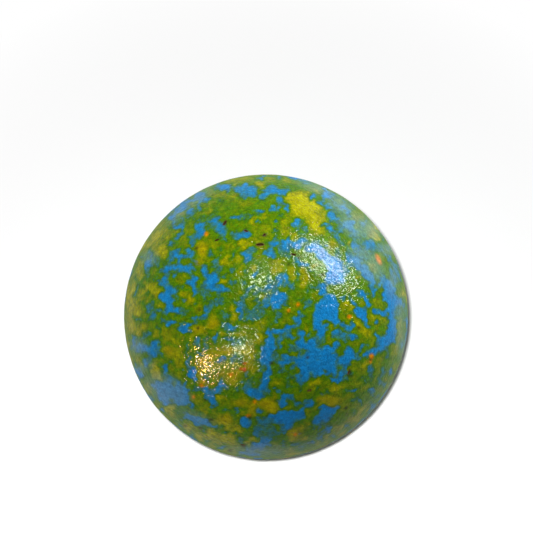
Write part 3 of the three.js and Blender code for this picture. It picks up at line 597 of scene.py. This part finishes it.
        (226, 419, 14, 10), (235, 428, 10, 5), (214, 421.5, 6, 4), (241.5, 413.5, 6, 5), (252, 410, 7, 11),
        (232, 382.5, 10, 6), (239, 371, 6, 6), (248, 367, 13, 11), (254, 370, 6, 8), (276, 383, 10, 6),
        (273.5, 397, 9, 6), (265, 404, 20, 7), (271, 409, 12, 7), (258, 404, 5, 3), (317, 382, 8, 5, 45),
        (313, 387, 6, 5), (335, 388, 6, 5), (341, 387.5, 6, 4), (324, 399, 11, 7), (333, 402, 9, 9),
        (343, 406.5, 4, 4), (318, 407.5, 3, 5), (349, 396, 6, 3.5, 50), (353, 376.5, 5, 4), (365.5, 387.5, 5, 3),
        (358, 414, 7, 5), (298, 427, 6, 4), (308.5, 425.5, 5, 4), (292, 435, 10, 10), (304, 437.5, 7, 3.5, 20),
        (298, 440, 8, 2.5), (222, 438, 14, 6), (230, 438, 7, 7), (226, 443, 16, 5, -25), (222, 450, 16, 3.5, -18),
        (232, 448.5, 6, 4), (235, 451, 5, 3), (247, 442.5, 3.5, 5), (252.5, 439.5, 7, 3), (209, 436.5, 10, 4.5, -15),
        (199.5, 438, 4.5, 7), (207, 446, 15, 4, -35), (203, 436, 5, 3), (216, 442, 6, 9), (189.5, 430, 5, 5),
        (187, 424.5, 5, 2.5), (197, 433, 6, 4), (168, 407.5, 7, 4, -10), (173, 409, 6, 3, -8), (168.5, 414, 5, 6),
        (175, 425, 8, 2.5, -42), (158, 407, 6, 2.5, -45), (355, 387.5, 4, 3), (223, 373, 5, 10), (200, 362, 9, 8),
        (210, 357, 8, 10), (240, 293, 6, 8), (291, 455, 10, 2.5), (376.5, 379.5, 3, 4), (190, 300.5, 7, 5),
        (303, 274, 7, 10), (240, 272, 6, 6), (223, 281, 8, 7), (210.5, 260.5, 5, 4), (223.5, 263, 4, 3),
        # Broad golden grounds, under smaller dabs
        (300, 208, 40, 32, -25), (300, 219, 18, 12), (286, 226, 12, 16), (291, 236, 11, 9), (323, 216, 12, 22),
        (222, 420, 22, 14), (228, 432, 22, 12), (216, 440, 20, 9, -25), (312, 385, 12, 11), (333, 389, 14, 8),
        (332, 401, 24, 11), (128, 345, 5, 30, 5), (140, 383, 5, 22, 30), (152, 400, 5, 22, 40),
        (175, 426, 22, 6, -40), (294, 434, 15, 10), (270, 404, 22, 12), (160, 240, 13, 24, -25), (163, 254, 9, 10),
        (244, 179, 40, 8, 5), (290, 178, 26, 5, -8), (361, 411, 60, 9, 45), (394, 367, 40, 8, 69),
        (333, 433, 45, 9, 30), (270, 452, 70, 9), (196, 431, 50, 9, -32), (148, 387, 36, 7, -60), (130, 330, 8, 60),
    ),
    YELLOW: (
        (259, 218, 9, 2, 15), (254, 220.5, 5, 2.5, 60), (251, 222, 4, 3), (261, 183, 7, 4), (156, 234, 5, 4),
        (168.5, 238, 4, 5), (175, 232, 6, 4, 20), (158, 253, 7, 6), (143.5, 274.5, 3, 4), (140.5, 277, 4, 3),
        (202, 251, 7, 10), (243, 244, 5, 5), (254, 267.5, 5, 4), (276, 270, 12, 7), (281, 271, 7, 6),
        (304, 281, 7, 15), (307, 278, 4, 4), (313, 266, 4, 3), (349.5, 243.5, 3, 5), (332, 243, 5, 4),
        (352, 307.5, 4, 3), (378, 238, 4, 3), (360, 277, 4, 3), (347, 302, 5, 5), (359, 323, 5, 4), (365, 331, 6, 4),
        (260, 340, 6, 7), (296.5, 307.5, 2.5, 4), (213, 325, 8, 6), (235, 318, 5, 5), (231.5, 308.5, 3, 3),
        (166.5, 349.5, 4, 5), (168.5, 354, 3, 3), (156, 372, 8, 12, 15), (152.5, 366, 4, 6), (157, 378, 5, 4),
        (132, 309, 6, 6), (131.5, 327, 5, 8), (138.5, 333, 4, 3), (222, 281, 4, 5), (222, 352, 7, 3),
        (229, 350, 5, 4), (249, 352, 7, 10), (251, 356, 4, 6), (230, 383, 5, 4), (241, 350, 9, 8), (318, 381, 4, 4),
        (271, 410, 6, 4), (303, 438, 4, 2.5), (224, 437, 8, 4), (230, 437, 4, 4), (208.5, 436, 5, 3),
        (199.5, 438, 3, 5), (189.5, 430, 3.5, 3.5), (167.5, 407.5, 4, 2.5), (173.5, 409, 4, 2), (253, 439.5, 4, 2),
        (247, 442.5, 2.5, 3), (403, 294, 4, 3), (156, 292, 4, 5), (145, 290, 3, 8), (183, 294, 4, 3),
        (292, 270, 4, 4), (222, 333, 3, 3), (239, 334, 6, 3), (230, 436, 3, 3), (365, 366, 4, 4), (218, 397, 5, 4),
        (334, 401, 12, 7), (314, 383, 7, 5), (336, 388, 7, 4), (293, 432, 7, 5), (270, 405, 10, 6), (131, 300, 5, 16),
        (131, 322, 6, 20), (127.5, 312, 6, 44), (128, 345, 6, 24), (131, 292, 6, 22, -10), (137, 275, 6, 18, -20),
        (137, 312, 5, 9), (225, 426, 12, 6), (212, 433, 13, 5, -35), (238, 430, 9, 5), (206, 438, 30, 8, -30),
        (228, 441, 24, 10, -15), (186, 428, 20, 6, -40), (168, 411, 14, 5, -45), (156, 373, 9, 13, 15),
        (140, 300, 5, 8), (157, 236, 8, 12, -25), (163, 250, 7, 9),
    ),
    LEMON: (
        # The bright patch at the top
        (304, 206, 32, 25, -25), (317, 213, 20, 20), (317, 225, 14, 16), (293, 199, 8, 9),
    ),
}
DAB_EDGE_PIXELS = 2.0
LEMON_EDGE_PIXELS = 4.0
BARE_SPREAD_PIXELS = 0.4
PAINTED_WARM_LIGHT_LEVEL = 0.70
PAINTED_WARM_LIGHT_SHARE = 0.14
PAINTED_WARM_LIGHT_FULL_AT = 0.6
RAGGED_PIXELS = 0.9
RAGGED_WAVELENGTHS = (5.0, 14.0)
RAGGED_WAVES = 24


def photo_pixels(points):
    """Where points in space fall in the photograph, as pixels across and down."""
    rays = points - np.array(camera_place)
    depth = rays @ np.array(view_axis)
    across = PHOTO_SIDE / 2 + focal_pixels * (rays @ np.array(view_right)) / depth
    down = PHOTO_SIDE / 2 - focal_pixels * (rays @ np.array(view_up)) / depth
    return across, down


def made_ragged(across, down):
    """Shifts places by a few seeded ripples, so that the dabs' outlines wander."""
    shifts = []
    for _ in range(2):
        shift = np.zeros(len(across))
        for _ in range(RAGGED_WAVES):
            shortest, longest = RAGGED_WAVELENGTHS
            turns = math.tau / (shortest * (longest / shortest) ** chance.random())
            heading, start = math.tau * chance.random(2)
            shift += np.sin(turns * (across * math.cos(heading) + down * math.sin(heading)) + start)
        shifts.append(shift * RAGGED_PIXELS * math.sqrt(2 / RAGGED_WAVES))
    return across + shifts[0], down + shifts[1]


def dab_cover(across, down, dab, edge, grown=0.0):
    """How far a dab covers each place, from 0 to 1, with a soft edge."""
    x, y, length, width, *turned = dab
    turn = math.radians(turned[0]) if turned else 0
    along = (across - x) * math.cos(turn) - (down - y) * math.sin(turn)
    aside = (across - x) * math.sin(turn) + (down - y) * math.cos(turn)
    reach = np.hypot(along / (length / 2), aside / (width / 2))
    margin = (1 - reach) * min(length, width) / 2 + grown
    return np.clip(0.5 + margin / (2 * edge), 0, 1)


def photo_levels(points):
    """The paint's level at each place by the dabs in the photograph, with painted warm light towards the top."""
    across, down = made_ragged(*photo_pixels(points))
    level = np.full(len(points), GROUND)
    dabs = [(target, dab) for target, listed in PHOTO_DABS.items() for dab in listed]
    for target, dab in sorted(dabs, key=lambda entry: -entry[1][2] * entry[1][3]):
        grown = BARE_SPREAD_PIXELS if target == BARE else 0.0
        edge = LEMON_EDGE_PIXELS if target == LEMON else DAB_EDGE_PIXELS
        level += (target - level) * dab_cover(across, down, dab, edge, grown)
    # Painted light: towards the top of the picture the paint is turned a little towards olive, a tint for the warm
    # light from above.
    high_up = np.clip((BALL_PIXEL_Y - down) / BALL_PIXEL_RADIUS, 0, PAINTED_WARM_LIGHT_FULL_AT) / PAINTED_WARM_LIGHT_FULL_AT
    return level + (PAINTED_WARM_LIGHT_LEVEL - level) * PAINTED_WARM_LIGHT_SHARE * high_up


# The photograph shows the paint only as far as the rim, and the dabs placed close to it would look smeared from the
# side. Dabs of like kinds and sizes are strewn at random beyond the rim, and break up the placed ones before it.
STREWN_KINDS = (BARE, BARE, BARE, WASH, THIN, GREEN, GREEN, OLIVE, OLIVE, GOLD, YELLOW)
STREWN_DABS = 2600
STREWN_SIZES = (0.12 * MILLIMETRE, 0.85 * MILLIMETRE)
STREWN_LEAST_WIDTH = 0.45
STREWN_MORE_WIDTH = 0.5
STREWN_SEARCH = 1.5  # a dab is worked out only for the places within about twice its length
STREWN_EDGE = 0.12 * MILLIMETRE
STREWN_RIPPLES = 30
STREWN_RIPPLE_REACH = 0.09 * MILLIMETRE
STREWN_WAVELENGTHS = (0.3 * MILLIMETRE, 1.0 * MILLIMETRE)
# How squarely a place faces the camera, which is 0 at the rim: from where the placed dabs show, and from where the
# strewn ones break them up
SHOWN_FROM = 0.03
SHOWN_BLEND = 0.10
SLANTED_FROM = 0.45
SLANTED_BLEND = 0.35
SLANTED_SHARE = 0.5


def strewn_levels(directions):
    """The paint's level by dabs strewn all over the ball."""
    surface = directions * BALL_RADIUS
    shift = np.zeros_like(surface)
    for _ in range(STREWN_RIPPLES):
        shortest, longest = STREWN_WAVELENGTHS
        turns = math.tau / (shortest * (longest / shortest) ** chance.random())
        heading = chance.normal(size=3)
        heading /= np.linalg.norm(heading)
        push = chance.normal(size=3)
        shift += np.outer(np.sin(surface @ heading * turns + math.tau * chance.random()), push)
    surface = surface + shift * STREWN_RIPPLE_REACH / math.sqrt(STREWN_RIPPLES / 2)
    surface *= BALL_RADIUS / np.linalg.norm(surface, axis=1, keepdims=True)
    level = np.full(len(directions), GROUND)
    kinds = np.array(STREWN_KINDS)
    low, high = STREWN_SIZES
    sizes = np.sort(low * (high / low) ** chance.random(STREWN_DABS))[::-1]
    for length in sizes:
        middle = chance.normal(size=3)
        middle /= np.linalg.norm(middle)
        target = chance.choice(kinds)
        width = length * (STREWN_LEAST_WIDTH + STREWN_MORE_WIDTH * chance.random())
        heading = np.cross(middle, chance.normal(size=3))
        heading /= np.linalg.norm(heading)
        side = np.cross(middle, heading)
        near = surface @ middle > BALL_RADIUS * (1 - (STREWN_SEARCH * length / BALL_RADIUS) ** 2)
        offset = surface[near]
        reach = np.hypot(offset @ heading / length, offset @ side / width)
        margin = (1 - reach) * width
        cover = np.clip(0.5 + margin / STREWN_EDGE, 0, 1)
        level[near] += (target - level[near]) * cover
    return level


def paint_levels(points):
    """The paint's level at each point of the coat, by how squarely the point faces the camera."""
    directions = points / np.linalg.norm(points, axis=1, keepdims=True)
    surface = directions * BALL_RADIUS
    to_camera = np.array(camera_place) - surface
    facing = (directions * to_camera).sum(axis=1) / np.linalg.norm(to_camera, axis=1)
    shown = np.clip((facing - SHOWN_FROM) / SHOWN_BLEND, 0, 1)
    slanted = SLANTED_SHARE * np.clip((SLANTED_FROM - facing) / SLANTED_BLEND, 0, 1)
    placed = photo_levels(surface)
    strewn = strewn_levels(directions)
    return shown * (placed + slanted * (strewn - GROUND)) + (1 - shown) * strewn


# Marks in the paint, placed as the dabs are: stains of ochre, crumbs of orange and red, dark grit, and a pale film
# near the rim that is a painted reflection of the white room. Each kind has its colour, how much it covers what is
# under it, and how soft its edge is.
SPECKS_AND_PAINTED_REFLECTION = {
    "ochre_speck": {
        "colour": (152, 136, 0),
        "cover": 0.6,
        "edge_pixels": 3.0,
        "dabs": (
            (202, 250, 8, 14), (199, 262, 5, 6), (265, 404, 18, 7), (271, 409, 10, 6), (333, 402, 10, 8),
            (323, 399, 8, 6), (296, 433, 12, 9), (252, 409, 6, 10), (226, 419, 12, 8), (241, 403, 10, 6),
            (198, 329, 9, 6), (213, 324, 10, 7), (190, 300.5, 6, 5), (228, 350, 12, 6), (203, 383, 6, 5),
            (169, 351, 8, 8), (303, 271, 4, 6), (333, 245.5, 6, 3), (223, 263, 4, 3), (263.5, 296.5, 3, 3),
            (143.5, 327.5, 4, 5), (234, 376, 10, 7), (247, 367, 8, 8),
        ),
    },
    "orange_speck": {
        "colour": (204, 118, 0),
        "cover": 1.0,
        "edge_pixels": 1.0,
        "dabs": (
            (206.4, 234, 3.5, 4), (378.5, 259.5, 10, 4, -65), (349.4, 316.5, 4, 3.5), (298, 304.5, 3, 3.5),
            (288.7, 310.5, 3, 3), (371.5, 356.5, 4, 5), (370.5, 361.5, 2.5, 3), (231, 374.5, 4, 2.5),
            (248.3, 415.5, 4, 2.5), (254.7, 401.8, 2.5, 3.5), (295.3, 434.5, 3, 3), (201.5, 385.5, 3.5, 2.5, -40),
            (193.5, 397, 2.5, 3),
        ),
    },
    "red_speck": {
        "colour": (186, 40, 8),
        "cover": 1.0,
        "edge_pixels": 1.0,
        "dabs": ((244.3, 369.5, 4, 3.5), (241, 369, 3, 2.5), (244.5, 363.5, 3, 2)),
    },
    # Painted reflection: a pale veil laid over the paint near the rim, where the varnish would show the white room.
    "painted_rim_reflection": {
        "colour": (122, 152, 152),
        "cover": 0.36,
        "edge_pixels": 4.0,
        "dabs": (
            (168, 390, 46, 26, -30), (143, 368, 8, 16, -60), (138, 346, 16, 14), (196, 417, 30, 8, -25),
            (150, 258, 14, 12), (196, 200, 26, 8, 35), (178, 214, 18, 8, 45), (365, 228, 30, 18, -40),
            (340, 205, 30, 14, -40), (392, 282, 10, 24), (400, 315, 8, 30), (260, 450, 40, 10), (386, 250, 14, 10),
            (368, 264, 46, 24, -50), (354, 226, 34, 20, -40), (318, 188, 30, 8, -20), (402, 345, 8, 50, 10),
        ),
    },
    "dark_speck": {
        "colour": (40, 44, 16),
        "cover": 0.9,
        "edge_pixels": 1.0,
        "dabs": (
            (265.4, 235.4, 3, 2.5), (225.7, 222.5, 2.5, 5), (350, 372, 3, 4), (348.5, 375.5, 3, 2),
            (351, 376.5, 3, 2), (243.5, 446, 5, 3), (249.8, 417.5, 3.5, 3), (211, 419.5, 5, 2.5),
            (230, 450.5, 4, 2.5), (241.5, 362, 4, 3), (271.5, 363, 4, 3), (322.5, 275, 2.5, 3),
            (358.5, 327.5, 3, 2.5), (205.3, 400, 3, 2), (198, 328, 3, 3), (199.5, 310, 3, 3), (196.5, 248, 3, 3),
            (370, 359.5, 3, 2.5), (307.5, 357.5, 3, 3), (185.5, 426, 4, 2.5), (200.5, 428, 4, 2.5), (346, 408, 3, 3),
            (298.8, 257.5, 2.5, 3), (288.5, 264.5, 2.5, 3),
        ),
    },
}


def speck_cover(points, dabs, edge):
    """How far specks cover each point, from 0 to 1. They show only on the side in the photograph."""
    across, down = photo_pixels(points)
    cover = np.zeros(len(points))
    for dab in dabs:
        cover = np.maximum(cover, dab_cover(across, down, dab, edge))
    return cover * (points @ np.array(towards_camera) > 0)


# A chip's mouth is rimmed with broken paint, dull and brown. Both are shares of the mouth's reach from its middle.
BROKEN_REACH = 1.2
BROKEN_BLEND = 0.2


def broken_edges(points):
    """How near each point is to a chip's broken edge, from 0 to 1."""
    near = np.zeros(len(points))
    for chip in CHIPS:
        direction = chip_direction(chip)
        turn = chip_turn(chip)
        offset = points - np.array(direction) * BALL_RADIUS
        along = offset @ np.array(turn @ Vector((1, 0, 0)))
        aside = offset @ np.array(turn @ Vector((0, 0, 1)))
        mouth = chip["size_share"] * CHIP_WIDTH / 2 + CHIP_RIM_SLOPE
        reach = np.hypot(along * CHIP_WIDTH / CHIP_LENGTH, aside) / mouth
        broken = np.clip((BROKEN_REACH - reach) / BROKEN_BLEND, 0, 1)
        near = np.maximum(near, broken * (points @ np.array(direction) > 0))
    return near


# The coat's finish: oil-bright colours that break up into lace at their edges, under a varnish that has dried into
# fine wrinkles, so that each window's reflection is a patch of small glints, and that is a little dusty.
def srgb(red, green, blue):
    """A colour for a node from the usual 0 to 255 values."""
    linear = [(v / 255 / 12.92) if v <= 10 else ((v / 255 + 0.055) / 1.055) ** 2.4 for v in (red, green, blue)]
    return (*linear, 1)


PAINT_RAMP = (
    (0.00, srgb(14, 115, 179)),
    (0.13, srgb(24, 115, 167)),
    (0.21, srgb(38, 110, 136)),
    (0.30, srgb(50, 106, 94)),
    (0.39, srgb(59, 105, 16)),
    (0.47, srgb(68, 112, 0)),
    (0.62, srgb(94, 117, 0)),
    (0.76, srgb(124, 131, 0)),
    (0.88, srgb(145, 145, 0)),
    (1.00, srgb(160, 162, 0)),
)
NOISE_RANGE = (0.3, 0.7)
LACE = {"scale": 2.4, "detail": 3.0, "roughness": 0.6, "distortion": 0.6}
FINE_LACE = {"scale": 8.0, "detail": 2.0, "roughness": 0.65}
LACE_LEVELS = (0.1, 0.7)
LACE_DEPTHS = (0.22, 0.42)
MOTTLE = {"scale": 4.5, "detail": 2.0}
MOTTLE_SHADES = (0.76, 1.20)
FINE_MOTTLE = {"scale": 13.0, "detail": 1.0}
FINE_MOTTLE_SHADES = (0.82, 1.18)
VARNISH_PATCHES = {"scale": 1.6, "detail": 2.0}
VARNISH_PATCH_RANGE = (0.35, 0.65)
VARNISH_ROUGHNESSES = (0.11, 0.15)
SLANTS = (0.55, 0.95)
SLANT_ROUGHNESS = 0.56
WRINKLES = {"scale": 5.0, "detail": 1.0, "distortion": 0.8}
WRINKLE_HEIGHT = 0.036 * MILLIMETRE
DUST_SHEEN = 0.12
DUST_SHEEN_ROUGHNESS = 0.20
BROKEN_BROWN = srgb(74, 48, 16)
BROKEN_ROUGHNESS = 0.8
SHARP_FROM_DEGREES = 35


def ranged(tree, value, given, wanted=(0.0, 1.0)):
    """A value taken from one range to another, and kept inside it."""
    limits = {"From Min": given[0], "From Max": given[1], "To Min": wanted[0], "To Max": wanted[1]}
    return add(tree, "ShaderNodeMapRange", {"Value": value, **limits}).outputs[0]


def drawn_on(tree, name):
    """The values of one of the coat's attributes."""
    return add(tree, "ShaderNodeAttribute", attribute_name=name).outputs["Fac"]


def paint_material():
    """The coat's colours by the paint's level, its marks, its mottle, its broken edges and its wrinkled varnish."""
    material = new_material("varnished_speckle")
    tree = material.node_tree
    place = millimetres(tree)

    level = drawn_on(tree, "paint_level")
    depth = ranged(tree, level, LACE_LEVELS, LACE_DEPTHS)
    grain = maths(tree, "ADD", noise(tree, place, **LACE), noise(tree, place, **FINE_LACE))
    level = maths(tree, "MULTIPLY_ADD", maths(tree, "SUBTRACT", grain, 1.0), depth, level)
    ramp = add(tree, "ShaderNodeValToRGB", {"Fac": level})
    stops = ramp.color_ramp.elements
    while len(stops) < len(PAINT_RAMP):
        stops.new(1.0)
    for stop, (position, colour) in zip(stops, PAINT_RAMP):
        stop.position = position
        stop.color = colour
    colour = ramp.outputs["Color"]
    # The specks, and the painted reflection near the rim, are blended over the ramp's colour.
    for name, speck in SPECKS_AND_PAINTED_REFLECTION.items():
        cover = maths(tree, "MULTIPLY", drawn_on(tree, name), speck["cover"])
        colour = blend(tree, cover, colour, srgb(*speck["colour"]))
    for mottle, shades in ((MOTTLE, MOTTLE_SHADES), (FINE_MOTTLE, FINE_MOTTLE_SHADES)):
        shade = ranged(tree, noise(tree, place, **mottle), NOISE_RANGE, shades)
        colour = vector_maths(tree, "SCALE", colour, shade)
    broken = drawn_on(tree, "broken_edge")
    colour = blend(tree, broken, colour, BROKEN_BROWN)

    # The varnish is blurred where it is seen aslant, so that the white room doesn't edge the ball with a bright line
    varnish = ranged(tree, noise(tree, place, **VARNISH_PATCHES), VARNISH_PATCH_RANGE, VARNISH_ROUGHNESSES)
    aslant = add(tree, "ShaderNodeLayerWeight", {"Blend": 0.5}).outputs["Facing"]
    varnish = maths(tree, "ADD", varnish, ranged(tree, aslant, SLANTS, (0.0, SLANT_ROUGHNESS)))
    roughness = maths(tree, "MAXIMUM", varnish, maths(tree, "MULTIPLY", broken, BROKEN_ROUGHNESS))
    surface = add(
        tree,
        "ShaderNodeBsdfPrincipled",
        {
            "Base Color": colour,
            "Roughness": roughness,
            "Specular IOR Level": SPECULAR_LEVEL,
            "Sheen Weight": DUST_SHEEN,
            "Sheen Roughness": DUST_SHEEN_ROUGHNESS,
            "Normal": bumped(tree, noise(tree, place, **WRINKLES), WRINKLE_HEIGHT),
        },
    )
    add(tree, "ShaderNodeOutputMaterial", {"Surface": surface.outputs[0]})
    return material


# The coat is rolled and chipped, and the result is made one plain mesh
paint = paint_material()
coat_seed = bpy.data.objects.new("coat_seed", bpy.data.meshes.new("coat_seed"))
bpy.context.scene.collection.objects.link(coat_seed)
roll = coat_seed.modifiers.new("roll", "NODES")
roll.node_group, values = coat_tree(paint)
for identifier, value in values.items():
    roll[identifier] = value
cutters = chip_cutters()
bpy.context.scene.collection.objects.link(cutters)
chipping = coat_seed.modifiers.new("chipping", "BOOLEAN")
chipping.operation = "DIFFERENCE"
chipping.solver = "MANIFOLD"
chipping.object = cutters
evaluated = coat_seed.evaluated_get(bpy.context.evaluated_depsgraph_get())
coat_mesh = bpy.data.meshes.new_from_object(evaluated)
coat_mesh.name = "paint_coat_finish"
coat_mesh.materials.clear()
coat_mesh.materials.append(paint)
coat_mesh.polygons.foreach_set("material_index", [0] * len(coat_mesh.polygons))
coat = bpy.data.objects.new("paint_coat_finish", coat_mesh)
bpy.context.scene.collection.objects.link(coat)
bpy.data.objects.remove(coat_seed)
bpy.data.objects.remove(cutters)

# The pattern is painted on as an attribute for each thing that the material reads
points = np.empty(len(coat_mesh.vertices) * 3)
coat_mesh.vertices.foreach_get("co", points)
points = points.reshape(-1, 3)
painted_on = {"paint_level": paint_levels(points), "broken_edge": broken_edges(points)}
for name, speck in SPECKS_AND_PAINTED_REFLECTION.items():
    painted_on[name] = speck_cover(points, speck["dabs"], speck["edge_pixels"])
for name, amounts in painted_on.items():
    attribute = coat_mesh.attributes.new(name, "FLOAT", "POINT")
    attribute.data.foreach_set("value", amounts.astype(np.float32))
coat_mesh.set_sharp_from_angle(angle=math.radians(SHARP_FROM_DEGREES))

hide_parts("paint_coat")
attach(coat, "root")

# The floor: a white table top. Near the marble it is lit, and keeps the marble's shadow. Farther off it fades into the
# white of the room, which is what the camera and the varnish see there. The paint gets less light back from it.
FLOOR_REACH = 1.5
FLOOR_TO_PAINT = 0.40
FLOOR_SEEN = 0.90
TABLE_LIGHT = 1.40
FADE_MILLIMETRES = (14.0, 30.0)
SEEN_WHITE = 1.0

floor_mesh = bpy.data.meshes.new("floor")
corners = [(x * FLOOR_REACH, y * FLOOR_REACH, coat_low.z) for x, y in ((-1, -1), (1, -1), (1, 1), (-1, 1))]
floor_mesh.from_pydata(corners, [], [(0, 1, 2, 3)])
floor = bpy.data.objects.new("floor", floor_mesh)
bpy.context.scene.collection.objects.link(floor)
floor_material = new_material("white_table")
floor_tree = floor_material.node_tree


def by_ray(tree, rays, lighting, seen):
    """A value for the rays that light the paint, and another for those that see the room or its reflection."""
    mirrored = maths(tree, "MAXIMUM", rays["Is Glossy Ray"], rays["Is Transmission Ray"])
    looking = maths(tree, "MAXIMUM", rays["Is Camera Ray"], mirrored)
    return maths(tree, "MULTIPLY_ADD", looking, seen - lighting, lighting)


floor_rays = add(floor_tree, "ShaderNodeLightPath").outputs
from_marble = vector_maths(floor_tree, "LENGTH", millimetres(floor_tree))
faded = ranged(floor_tree, from_marble, FADE_MILLIMETRES)
table_grey = by_ray(floor_tree, floor_rays, FLOOR_TO_PAINT, FLOOR_SEEN)
table_grey = maths(floor_tree, "MULTIPLY", table_grey, maths(floor_tree, "SUBTRACT", 1.0, faded))
table_top = add(floor_tree, "ShaderNodeBsdfDiffuse", {"Color": table_grey})
room_white = by_ray(floor_tree, floor_rays, FLOOR_TO_PAINT * TABLE_LIGHT, SEEN_WHITE)
room_beyond = add(floor_tree, "ShaderNodeEmission", {"Strength": maths(floor_tree, "MULTIPLY", room_white, faded)})
both = add(floor_tree, "ShaderNodeAddShader", {0: table_top.outputs[0], 1: room_beyond.outputs[0]})
add(floor_tree, "ShaderNodeOutputMaterial", {"Surface": both.outputs[0]})
floor_mesh.materials.append(floor_material)

# The light: soft boxes behind polarising film, which light the paint and leave no reflection, a lamp beside the lens
# for the table alone, and bare lamps and windows where the photograph's reflections say that they were. The room is
# white to the camera and the varnish, and dim to the paint.
# A lamp is placed by the way to it from the ball, as shares across, up and towards the camera, and by its distance
# and size in metres. Its level is the share of full light that it gives at the ball, so the table, which lies farther
# off, needs more than 1. A long lamp lies along the way that it is turned to.
LAMPS = (
    {
        "name": "sky_box", "way": (0.12, 0.80, 0.60), "distance": 0.60,
        "size": (0.60, 0.60), "level": 1.17, "use": "paint",
    },
    {
        "name": "right_box", "way": (0.78, 0.64, 0.03), "distance": 0.50,
        "size": (0.40, 0.40), "level": 0.90, "use": "paint",
    },
    {
        "name": "left_box", "way": (-0.95, -0.25, 0.15), "distance": 0.50,
        "size": (0.30, 0.30), "level": 0.41, "use": "paint",
    },
    {
        "name": "fill_box", "way": (0.0, 0.20, 0.98), "distance": 0.50,
        "size": (0.30, 0.30), "level": 0.31, "use": "paint",
    },
    {
        "name": "lens_lamp", "way": (-0.0190, 0.0205, 1.0), "distance": camera_distance,
        "size": (0.0022, 0.0022), "level": TABLE_LIGHT, "use": "table",
    },
    {
        "name": "window", "way": (0.685, 0.60, 0.40), "along": (0.62, -0.66, -0.15), "distance": 0.45,
        "size": (0.34, 0.13), "level": 13.0, "use": "glint",
    },
    {
        "name": "ceiling", "way": (-0.07, 0.48, 0.88), "distance": 0.50,
        "size": (0.12, 0.08), "level": 3.7, "use": "glint", "colour": (0.90, 1, 0.76),
    },
    {
        "name": "far_glow", "way": (0.60, 0.64, -0.48), "distance": 0.50,
        "size": (0.40, 0.40), "level": 0.86, "use": "glint",
    },
    {
        "name": "near_lamp", "way": (-0.33, -0.41, 0.86), "distance": 0.40,
        "size": (0.05, 0.05), "level": 3.8, "use": "glint", "colour": (0.9, 1, 0.78),
    },
    {
        "name": "warm_lamp", "way": (-0.665, -0.54, 0.51), "distance": 0.40,
        "size": (0.034, 0.034), "level": 6.6, "use": "glint", "colour": (1, 0.42, 0.05),
    },
    {
        "name": "warm_lamp_beside", "way": (-0.41, -0.62, 0.66), "distance": 0.40,
        "size": (0.025, 0.025), "level": 1.6, "use": "glint", "colour": (1, 0.6, 0.15),
    },
    {
        "name": "pale_lamp", "way": (-0.66, -0.58, 0.47), "distance": 0.40,
        "size": (0.022, 0.022), "level": 2.6, "use": "glint", "colour": (1, 0.82, 0.86),
    },
)
ROOM_TO_PAINT = 0.14


def from_view(shares):
    """A direction from its shares across, up and towards the camera."""
    across_share, up_share, near_share = shares
    return (across_ball * across_share + up_ball * up_share + towards_camera * near_share).normalized()


lit = {"table": bpy.data.collections.new("lit_table"), "marble": bpy.data.collections.new("lit_marble")}
lit["table"].objects.link(floor)
lit["marble"].objects.link(coat)
lit["marble"].objects.link(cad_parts["clay_ball"])

for lamp in LAMPS:
    way = from_view(lamp["way"])
    along = from_view(lamp.get("along", (1, 0, 0)))
    aside = way.cross(along).normalized()
    turned = Matrix((aside.cross(way), aside, way)).transposed().to_4x4()
    light = bpy.data.lights.new(lamp["name"], "AREA")
    light.shape = "RECTANGLE"
    light.size, light.size_y = lamp["size"]
    light.energy = lamp["level"] * (math.pi * lamp["distance"]) ** 2
    light.color = lamp.get("colour", (1, 1, 1))
    light.use_shadow = lamp["use"] == "table"
    holder = bpy.data.objects.new(lamp["name"], light)
    holder.matrix_world = Matrix.Translation(way * lamp["distance"]) @ turned
    holder.visible_glossy = lamp["use"] == "glint"
    holder.visible_diffuse = lamp["use"] != "glint"
    holder.light_linking.receiver_collection = lit["table" if lamp["use"] == "table" else "marble"]
    bpy.context.scene.collection.objects.link(holder)

world = bpy.data.worlds.new("white_room")
bpy.context.scene.world = world
world.use_nodes = True
world_tree = world.node_tree
world_tree.nodes.clear()
world_rays = add(world_tree, "ShaderNodeLightPath").outputs
room_strength = by_ray(world_tree, world_rays, ROOM_TO_PAINT, SEEN_WHITE)
room_light = add(world_tree, "ShaderNodeBackground", {"Color": (1, 1, 1, 1), "Strength": room_strength})
add(world_tree, "ShaderNodeOutputWorld", {"Surface": room_light.outputs[0]})
bpy.context.scene.view_settings.view_transform = "Standard"
